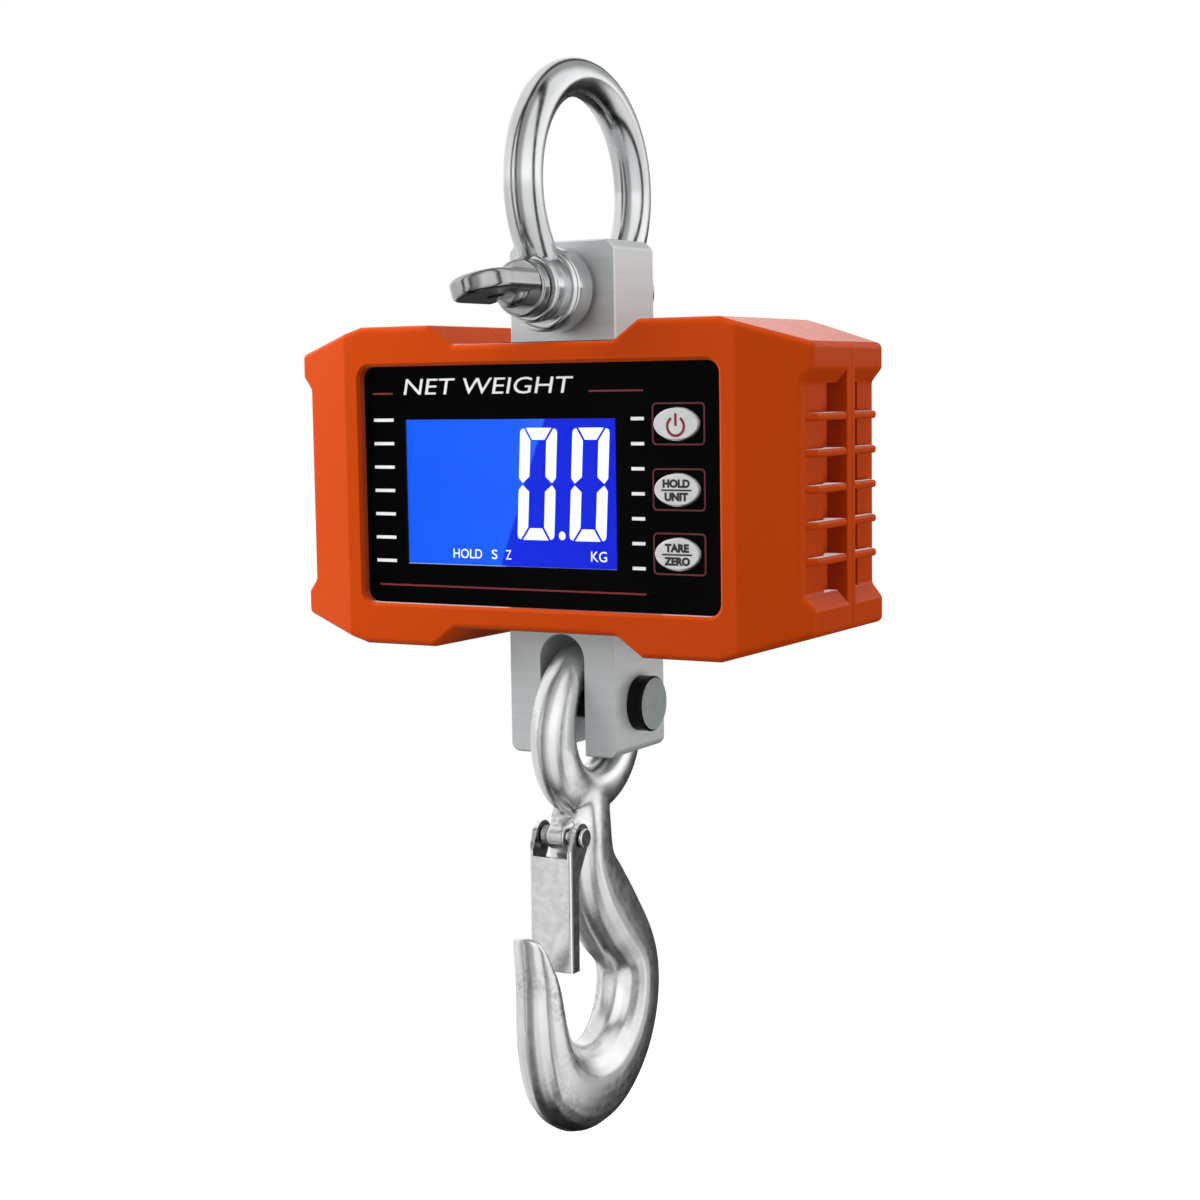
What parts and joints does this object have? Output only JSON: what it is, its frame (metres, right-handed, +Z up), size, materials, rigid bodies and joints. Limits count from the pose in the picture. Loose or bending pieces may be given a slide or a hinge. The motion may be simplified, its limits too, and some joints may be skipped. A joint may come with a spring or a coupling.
{
  "type": "crane scale",
  "caption": "Hanging crane scale: bow shackle with a screw pin, sealed split housing with a lit display and keys, load block and a swinging hook with a sprung latch.",
  "frame": {"origin": "inner crown of the shackle bow, where the scale hangs", "axes": "+Z up the line of pull, -Y out of the display side, +X to the display's right"},
  "size_m": [0.1808, 0.1055, 0.3389],
  "materials": {
    "housing_paint": "satin orange coating with a fine grain",
    "seal_rubber": "matt black",
    "screw_steel": "plated",
    "block_alloy": "finely brushed",
    "gauge_film": "amber film",
    "pin_steel": "ground",
    "spring_steel": "bright",
    "panel_print": "gloss black with printed lettering",
    "window_clear": "clear",
    "display_blue": "lit blue with pale digits",
    "backlight_white": "white diffuser",
    "inner_plastic": "black",
    "key_grey": "silver grey",
    "switch_black": "black",
    "board_green": "solder mask",
    "component_black": "black",
    "cable_black": "black",
    "cell_wrap": "printed sleeve",
    "contact_metal": "nickel plated",
    "shackle_steel": "polished",
    "hook_zinc": "zinc plated forging",
    "latch_zinc": "bright zinc plate"
  },
  "bodies": {
    "shackle": {"shackle_bow": "shackle_steel"},
    "shackle_pin": {"shackle_pin": "shackle_steel"},
    "scale": {"front_shell": "housing_paint", "rear_shell": "housing_paint", "shell_gasket": "seal_rubber", "upper_seal": "seal_rubber", "lower_seal": "seal_rubber", "cover_gasket": "seal_rubber", "shell_screws": "screw_steel", "load_cell_screws": "screw_steel", "board_screws": "screw_steel", "load_cell": "block_alloy", "strain_gauges": "gauge_film", "hook_pin": "pin_steel", "hook_pin_clip": "spring_steel", "face_panel": "panel_print", "display_window": "window_clear", "lcd_glass": "display_blue", "lcd_backlight": "backlight_white", "lcd_carrier": "inner_plastic", "key_switches": "switch_black", "circuit_board": "board_green", "board_components": "component_black", "load_cell_cable": "cable_black", "battery_leads": "cable_black", "battery_tray": "inner_plastic", "cell_1": "cell_wrap", "cell_2": "cell_wrap", "cell_3": "cell_wrap", "cell_contacts": "contact_metal"},
    "battery_cover": {"battery_cover": "housing_paint", "cover_screws": "screw_steel"},
    "key_power": {"key_power": "key_grey"},
    "key_hold": {"key_hold": "key_grey"},
    "key_tare": {"key_tare": "key_grey"},
    "hook": {"hook": "hook_zinc", "latch_pin": "latch_zinc", "latch_spring": "spring_steel"},
    "latch": {"latch": "latch_zinc"}
  },
  "joints": [
    {"name": "shackle_pin_draw", "type": "slide", "parent": "shackle", "child": "shackle_pin", "axis": [0, -1, 0], "range_m": [0, 0.062]},
    {"name": "shackle_swing", "type": "hinge", "parent": "shackle", "child": "scale", "pos_m": [0, 0, -0.0595], "axis": [0, 1, 0], "range_deg": [-90, 90]},
    {"name": "hook_swing", "type": "hinge", "parent": "scale", "child": "hook", "pos_m": [0, 0, -0.188], "axis": [1, 0, 0], "range_deg": [-45, 45]},
    {"name": "latch_open", "type": "hinge", "parent": "hook", "child": "latch", "pos_m": [0, -0.01805, -0.2288], "axis": [1, 0, 0], "range_deg": [0, 27], "stiffness_Nm_per_rad": 0.05, "springref_deg": -34.38},
    {"name": "key_power_press", "type": "slide", "parent": "scale", "child": "key_power", "axis": [0, 1, 0], "range_m": [0, 0.0004], "stiffness_N_per_m": 2000, "springref_m": -0.0003},
    {"name": "key_hold_press", "type": "slide", "parent": "scale", "child": "key_hold", "axis": [0, 1, 0], "range_m": [0, 0.0004], "stiffness_N_per_m": 2000, "springref_m": -0.0003},
    {"name": "key_tare_press", "type": "slide", "parent": "scale", "child": "key_tare", "axis": [0, 1, 0], "range_m": [0, 0.0004], "stiffness_N_per_m": 2000, "springref_m": -0.0003},
    {"name": "battery_cover_lift", "type": "slide", "parent": "scale", "child": "battery_cover", "axis": [0, 1, 0], "range_m": [0, 0.04]}
  ]
}
